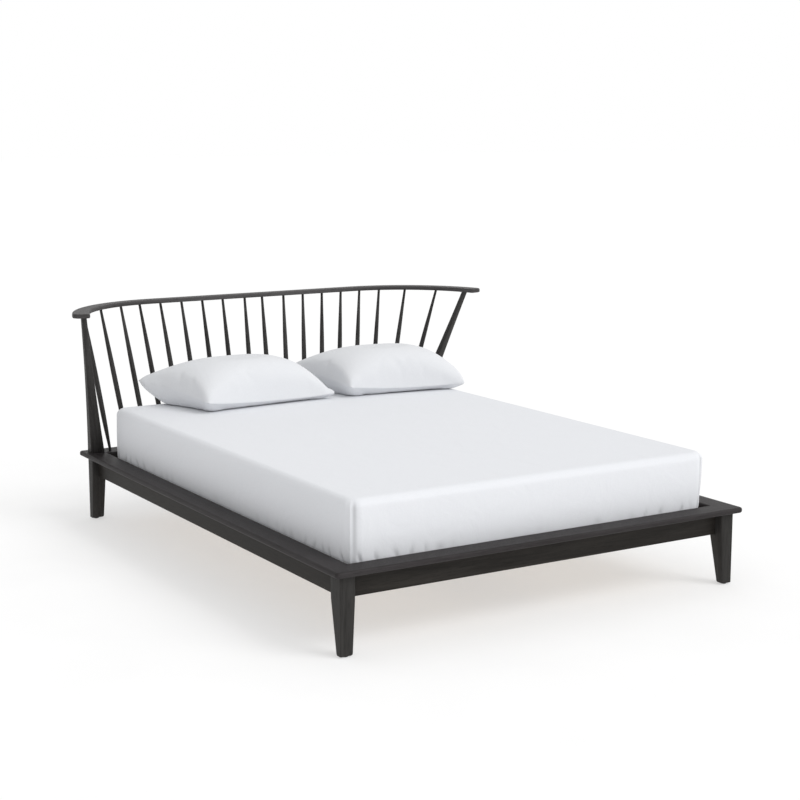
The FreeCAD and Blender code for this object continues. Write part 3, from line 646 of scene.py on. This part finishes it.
def white_cotton(name, colour, mapped):
    """Plain weave cotton: fine threads, faint creases and a soft sheen.

    The pattern follows the piece's own UV map where it is mapped, and else its place.
    """
    finish, tree, shader = new_finish(name, colour, COTTON_ROUGHNESS)
    shader.inputs["Sheen Weight"].default_value = 0.12
    shader.inputs["Sheen Roughness"].default_value = 0.5
    place = node(tree, "TexCoord").outputs["UV" if mapped else "Object"]
    part = node(tree, "SeparateXYZ", {0: place}).outputs
    threads = [math_of(tree, "SINE", math_of(tree, "MULTIPLY", part[axis], THREAD_WAVE))
               for axis in ("X", "Y", "Z")]
    weave = math_of(tree, "ADD", math_of(tree, "ADD", threads[0], threads[1]), threads[2])
    crease = node(tree, "TexNoise", {"Vector": place, "Scale": 9.0, "Detail": 5.0,
                                     "Roughness": 0.55, "Distortion": 0.8})
    slub = node(tree, "TexNoise", {"Vector": place, "Scale": 260.0, "Detail": 3.0})
    tone = ramp(tree, slub.outputs["Fac"], ((0.3, tuple(SLUB_SHADE * c for c in colour)),
                                            (0.7, colour)))
    tree.links.new(tone, shader.inputs["Base Color"])
    soft = node(tree, "Bump", {"Height": crease.outputs["Fac"], "Strength": 0.25,
                               "Distance": 0.010})
    fine = node(tree, "Bump", {"Height": slub.outputs["Fac"], "Strength": 0.25,
                               "Distance": 0.0005, "Normal": soft.outputs["Normal"]})
    bump = node(tree, "Bump", {"Height": weave, "Strength": 0.12, "Distance": 0.0001,
                               "Normal": fine.outputs["Normal"]})
    tree.links.new(bump.outputs["Normal"], shader.inputs["Normal"])
    return finish


def bell(value, width):
    """A smooth rise and fall about zero."""
    return math.exp(-(value / width) ** 2)


def bell_at(value, place):
    """A smooth rise and fall about a middle, given with its width."""
    middle, width = place
    return bell(value - middle, width)


def sheet_fall(point, half, around):
    """How far the stretched cloth stands out from the mattress side, and the share of painted
    shade in its seam crease and puckers.
    """
    corner = half.y - MATTRESS_CORNER + MATTRESS_CORNER * math.pi / 4
    from_corner = around - corner
    up = (point.z + half.z) / (2 * half.z)
    wander = noise.noise(point * 4.0) * 2.2 + noise.noise(point * 13.0) * 0.8
    near = GATHER_LEFT + (1 - GATHER_LEFT) * bell(from_corner, GATHER_REACH)
    patchy = 0.55 + 0.9 * noise.noise(point * 7.0)
    dimple = max(0, math.sin(around / GATHER_PITCH + 3 * wander)) ** 4
    gather = near * patchy * bell(up - GATHER_HEIGHT, GATHER_SPREAD) * (0.3 - dimple)
    pull = bell(from_corner, PULL_REACH) * math.sin(from_corner / PULL_PITCH + 5 * up + wander)
    drift = noise.noise(Vector((point.x * 2.2, point.y * 2.2, point.z * 5)))
    seam = bell_at(from_corner, SEAM_RIDGE) - 0.45 * bell_at(from_corner, SEAM_HOLLOW) * up
    # The share of painted shade: in the crease beside the seam, and in the puckers' dimples
    crease = 0.9 * bell_at(from_corner, SEAM_CREASE) * (0.45 + 0.55 * up)
    crease += near * dimple * bell(up - GATHER_HEIGHT, DIMPLE_SPREAD)
    stand = (GATHER_DEPTH * gather + PULL_DEPTH * pull * (1 - up) + DRIFT_DEPTH * drift
             + SEAM_DEPTH * seam)
    return stand, min(1, crease)


def shade_creases(finish):
    """Paint shade into the cloth's creases and puckers, greying it where less light comes in than
    the mesh can show.
    """
    tree = finish.node_tree
    base = tree.nodes["Principled BSDF"].inputs["Base Color"]
    crease = node(tree, "Attribute", attribute_name="crease").outputs["Fac"]
    share = node(tree, "MapRange", {"Value": crease, "To Min": 1.0, "To Max": CREASE_SHADE})
    shaded = node(tree, "VectorMath", {0: base.links[0].from_socket, "Scale": share.outputs[0]},
                  operation="SCALE")
    tree.links.new(shaded.outputs[0], base)


def rim_share(z, half_z):
    """How far up the rounded rim a point is, from 0 below it to 1 on the flat top."""
    down = min(1, max(0, (half_z - z) / MATTRESS_RIM))
    return (1 - down) ** 2 * (1 + 2 * down)


def fitted_sheet():
    """The sheet as one skin over the top, the sides and a hem width of the underside."""
    low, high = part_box("fitted_sheet")
    half = (high - low) / 2 - Vector(SHEET_INSET)
    bm = cut_block([cell_places(half.x, SHEET_ZONES, SOFT_CELL),
                    cell_places(half.y, SHEET_ZONES, SOFT_CELL),
                    cell_places(half.z, SHEET_HEIGHT_ZONES, SHEET_HEIGHT_CELL)])
    round_block(bm, half, MATTRESS_CORNER, MATTRESS_RIM)
    gone = []
    for face in bm.faces:
        middle = face.calc_center_median()
        depth = outline_of(middle.x, middle.y, half.x, half.y, MATTRESS_CORNER)[0]
        if middle.z < 0 and depth > HEM_REACH:
            gone.append(face)
    bmesh.ops.delete(bm, geom=gone, context="FACES")
    creases = bm.verts.layers.float.new("crease")
    for vert in bm.verts:
        x, y, z = vert.co
        depth, out, around = outline_of(x, y, half.x, half.y, MATTRESS_CORNER)
        if abs(z) < half.z - FLAT_MARGIN:
            side = 1 - rim_share(abs(z), half.z)
            fall, crease = sheet_fall(vert.co, half, around)
            # Painted shade on the sides, greyed into the cloth's colour by its material
            vert[creases] = crease * side
            stand = SHEET_BOW * math.cos(z / half.z * BOW_ANGLE) + fall
            vert.co += out * max(stand, SHEET_SINK) * side
            vert.co.x -= lean_in(x, z, half)
        if z > 0:
            crown = SHEET_CROWN * (1 - (x / half.x) ** 2) * (1 - (y / half.y) ** 2)
            swell = SHEET_SWELL * noise.noise(Vector((x * 2.4, y * 2.4, 3)))
            flat = min(1, max(0, depth / SWELL_REACH))
            vert.co.z += crown * rim_share(z, half.z) + swell * flat * flat * (3 - 2 * flat)
    bmesh.ops.translate(bm, verts=bm.verts, vec=(low + high) / 2)
    cotton = white_cotton("sheet_cotton_weave", COTTON, False)
    shade_creases(cotton)
    piece = finish_piece(bm, "sheet_skin", cotton)
    wall = piece.modifiers.new("cloth_thickness", "SOLIDIFY")
    wall.thickness = SHEET_THICKNESS
    wall.offset = -1
    return piece


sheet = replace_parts(fitted_sheet(), "fitted_sheet")
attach(sheet, "mattress")


# ---- Pillows and pillowcases ----
# Two fibre-filled pillows in white cotton cases. Each case is drawn as one closed form of
# two layers that meet at a thin seam. The end where a case is open stands up a little, and
# on the left case it runs on past the filling as a short flap.
PILLOW_CELLS = (54, 42)
# Half a case's width and depth, for its map and for how far its sides draw in
CASE_HALF = (0.37, 0.25)
# Where the filling ends on the way to the open end, and on the way to the long seams
FLAP_START = {"left": 0.91, "right": 1.0}
SEAM_START = 0.965
SIDE_DRAW = 0.030
SEAM_SAG = 0.016
LAYER_HALF = 0.0012
MOUTH_OPEN = 0.012
MOUTH_WIDTH = 0.12
# How much of the opening the lower layer takes, downwards
MOUTH_BELOW = 0.4
# The corners are drawn in by this share, from where the two places add up to the start
CORNER_EASE = 0.045
CORNER_START = 1.75
# Powers of the crowned form, across and along a case, and of both together
PLUMP_ACROSS = 2.6
PLUMP_ALONG = 2.3
PLUMP_POWER = 0.54
# How fast the lower layer reaches the sheet, going in from the seam
UNDERSIDE_FALL = 1.7
STUFFING_FRAMES = 16
STUFFING_ROOM = 0.010
# The cases' distance from the sheet, the room over them, and the cloth round a filling
CASE_GAP = 0.0002
CASE_HEADROOM = 0.004
FILLING_GAP = 0.003
CASE_COTTON = (0.740, 0.752, 0.775)
TICKING = (0.80, 0.80, 0.79)
# Seam corners across and along the bed, with the height of each over the sheet: front
# right, back right, back left, front left
CASE_CORNERS = {
    "left": ((0.160, 0.640, 0.016), (0.068, 1.022, 0.085), (-0.650, 1.002, 0.100),
             (-0.508, 0.571, 0.040)),
    "right": ((0.792, 0.566, 0.020), (0.776, 0.960, 0.070), (0.094, 1.027, 0.096),
              (0.190, 0.610, 0.044))}


def spread(corners, u, v):
    """The point between four corners at a place from -1 to 1 across and along them."""
    right = corners[0] * ((1 - v) / 2) + corners[1] * ((1 + v) / 2)
    left = corners[3] * ((1 - v) / 2) + corners[2] * ((1 + v) / 2)
    return left * ((1 - u) / 2) + right * ((1 + u) / 2)


def plump(u, v, flap_start):
    """Height share of the stuffed part of a case, which ends where its flap starts."""
    u = 2 * (u + 1) / (flap_start + 1) - 1
    across = max(0, 1 - abs(u) ** PLUMP_ACROSS)
    along = max(0, 1 - abs(v / SEAM_START) ** PLUMP_ALONG)
    return (across * along) ** PLUMP_POWER


def laid_case(name, corners, flap_start, rest, rise, finish):
    """The case as a closed form: two layers that meet at a thin seam all round."""
    half_u, half_v = CASE_HALF
    places = [[2 * index / count - 1 for index in range(count + 1)] for count in PILLOW_CELLS]
    bm = cut_block(places + [[-0.5, 0.5]])
    layer = bm.loops.layers.uv.new("cut")
    for face in bm.faces:
        for loop in face.loops:
            loop[layer].uv = (loop.vert.co.x * half_u + 1, loop.vert.co.y * half_v + 1)
    for vert in bm.verts:
        u, v, layer_side = vert.co
        pull_u = SIDE_DRAW / half_u * (1 - v * v) * abs(u) ** 3
        pull_v = SIDE_DRAW / half_v * (1 - u * u) * abs(v) ** 3
        ease = max(0, abs(u) + abs(v) - CORNER_START) / (2 - CORNER_START)
        shrink = 1 - CORNER_EASE * ease * ease
        place = spread(corners, u * shrink * (1 - pull_u), v * shrink * (1 - pull_v))
        seam = place.z - SEAM_SAG * (1 - u * u) * v * v
        fill = plump(u, v, flap_start)
        mouth = MOUTH_OPEN * bell(u - 1, MOUTH_WIDTH) * (0.55 + 0.45 * (1 - v ** 4))
        if layer_side > 0:
            z = seam + (rise - seam) * fill + LAYER_HALF + mouth
        else:
            z = seam - seam * min(1, UNDERSIDE_FALL * fill) - LAYER_HALF - MOUTH_BELOW * mouth
        vert.co = (place.x, place.y, rest + max(z, 0))
    return finish_piece(bm, name, finish)


def stuff(case, low, high):
    """Let the stuffing swell the case as cloth, within a small room, so that it creases."""
    start = np.array([vert.co for vert in case.data.vertices])
    cloth = case.modifiers.new("stuffing", "CLOTH")
    held = cloth.settings
    held.quality = 5
    held.mass = 0.25
    held.tension_stiffness = held.compression_stiffness = 14
    held.shear_stiffness = 6
    held.bending_stiffness = 0.3
    held.shrink_min = -0.035
    held.use_pressure = True
    held.uniform_pressure_force = 4
    held.effector_weights.gravity = 0
    cloth.point_cache.frame_end = STUFFING_FRAMES
    for number in range(1, STUFFING_FRAMES + 1):
        bpy.context.scene.frame_set(number)
    shaped = bpy.data.meshes.new_from_object(
        case.evaluated_get(bpy.context.evaluated_depsgraph_get()))
    case.modifiers.clear()
    case.data = shaped
    bpy.context.scene.frame_set(1)
    points = np.array([vert.co for vert in shaped.vertices])
    moved = points - start
    reach = np.linalg.norm(moved, axis=1, keepdims=True)
    points = start + moved * np.minimum(1, STUFFING_ROOM / np.maximum(reach, 1e-9))
    points[:, 2] = np.clip(points[:, 2], low.z + CASE_GAP, high.z + CASE_HEADROOM)
    shaped.vertices.foreach_set("co", points.ravel())


def filling_of(case, name, finish):
    """The pillow inside its case: the same form, drawn in by the cloth's thickness."""
    bm = bmesh.new()
    bm.from_mesh(case.data)
    bm.normal_update()
    moves = [vert.normal * -FILLING_GAP for vert in bm.verts]
    for vert, move in zip(bm.verts, moves):
        vert.co += move
    return finish_piece(bm, name, finish)


case_cotton = white_cotton("pillowcase_cotton_weave", CASE_COTTON, True)
pillow_ticking = white_cotton("pillow_ticking", TICKING, True)
for side, corners in CASE_CORNERS.items():
    low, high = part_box("pillowcase_" + side)
    case = laid_case("case_" + side, [Vector(corner) for corner in corners], FLAP_START[side],
                     low.z + CASE_GAP, high.z - low.z, case_cotton)
    stuff(case, low, high)
    filling = filling_of(case, "filling_" + side, pillow_ticking)
    soften = case.modifiers.new("finer", "SUBSURF")
    soften.levels = soften.render_levels = 1
    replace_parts(case, "pillowcase_" + side)
    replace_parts(filling, "pillow_" + side)
    for piece, slot in ((case, "pillow_cotton"), (filling, "pillow_filling")):
        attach(piece, "pillow_" + side)


# ---- Floor, light and camera ----
# A plain pale floor under a white studio, with one large soft light from the front right
# and above, and a camera at the photograph's place.
FLOOR_TONE = 0.50
FLOOR_MOTTLE = 0.01
FLOOR_GLOW = 0.50
FLOOR_HALF = 60
FLOOR_GAP = 0.0008
KEY_WAY = (-0.45, 0.62, -0.75)
KEY_SPREAD = 32
KEY_STRENGTH = 1.15
CAMERA_LENS = 73.95
CAMERA_PLACE = (-3.3198, -5.5677, 1.71995)
# The camera's tilt below level and its turn about the upright axis
CAMERA_TILT = 0.1706
CAMERA_TURN = -0.5484


def pale_floor():
    """A wide pale floor with a very faint mottle, and a little light of its own."""
    finish, tree, shader = new_finish("pale_floor", (FLOOR_TONE,) * 3, 0.8)
    shader.inputs["Specular IOR Level"].default_value = 0.0
    shader.inputs["Emission Color"].default_value = (1, 1, 1, 1)
    shader.inputs["Emission Strength"].default_value = FLOOR_GLOW
    where = node(tree, "TexCoord").outputs["Object"]
    mottle = node(tree, "TexNoise", {"Vector": where, "Scale": 2.0, "Detail": 3.0})
    tone = ramp(tree, mottle.outputs["Fac"], ((0.3, (FLOOR_TONE - FLOOR_MOTTLE,) * 3),
                                              (0.7, (FLOOR_TONE + FLOOR_MOTTLE,) * 3)))
    tree.links.new(tone, shader.inputs["Base Color"])
    bm = bmesh.new()
    bmesh.ops.create_grid(bm, x_segments=1, y_segments=1, size=FLOOR_HALF)
    bmesh.ops.translate(bm, verts=bm.verts, vec=(0, 0, -FLOOR_GAP))
    floor = finish_piece(bm, "floor", finish)
    floor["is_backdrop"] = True


def studio_sky():
    """White near the horizon, a little dimmer above and from the left."""
    world = bpy.data.worlds.new("studio")
    world.use_nodes = True
    tree = world.node_tree
    tree.nodes.clear()
    way = node(tree, "SeparateXYZ", {0: node(tree, "TexCoord").outputs["Generated"]}).outputs
    rise = node(tree, "MapRange", {"Value": way["Z"], "From Min": 0.22, "From Max": 0.50,
                                   "To Min": 1.0, "To Max": 0.82})
    side = node(tree, "MapRange", {"Value": way["X"], "From Min": -0.9, "From Max": -0.1,
                                   "To Min": 0.62, "To Max": 1.0})
    strength = math_of(tree, "MULTIPLY", rise.outputs[0], side.outputs[0])
    shine = node(tree, "Background", {"Color": (1, 1, 1, 1), "Strength": strength})
    out = node(tree, "OutputWorld")
    tree.links.new(shine.outputs[0], out.inputs["Surface"])
    bpy.context.scene.world = world


def sun(name, way, spread, strength):
    """One wide soft light from far away, along a direction."""
    lamp = bpy.data.lights.new(name, "SUN")
    lamp.angle = math.radians(spread)
    lamp.energy = strength
    holder = bpy.data.objects.new(name, lamp)
    holder.rotation_euler = Vector(way).to_track_quat("-Z", "Y").to_euler()
    bpy.context.scene.collection.objects.link(holder)


pale_floor()
studio_sky()
sun("key", KEY_WAY, KEY_SPREAD, KEY_STRENGTH)

camera = bpy.data.cameras.new("camera")
camera.sensor_width = 36
camera.lens = CAMERA_LENS
holder = bpy.data.objects.new("camera", camera)
holder.location = CAMERA_PLACE
holder.rotation_euler = (math.pi / 2 - CAMERA_TILT, 0, CAMERA_TURN)
bpy.context.scene.collection.objects.link(holder)
bpy.context.scene.camera = holder
bpy.context.scene.view_settings.view_transform = "Standard"

low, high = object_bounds()
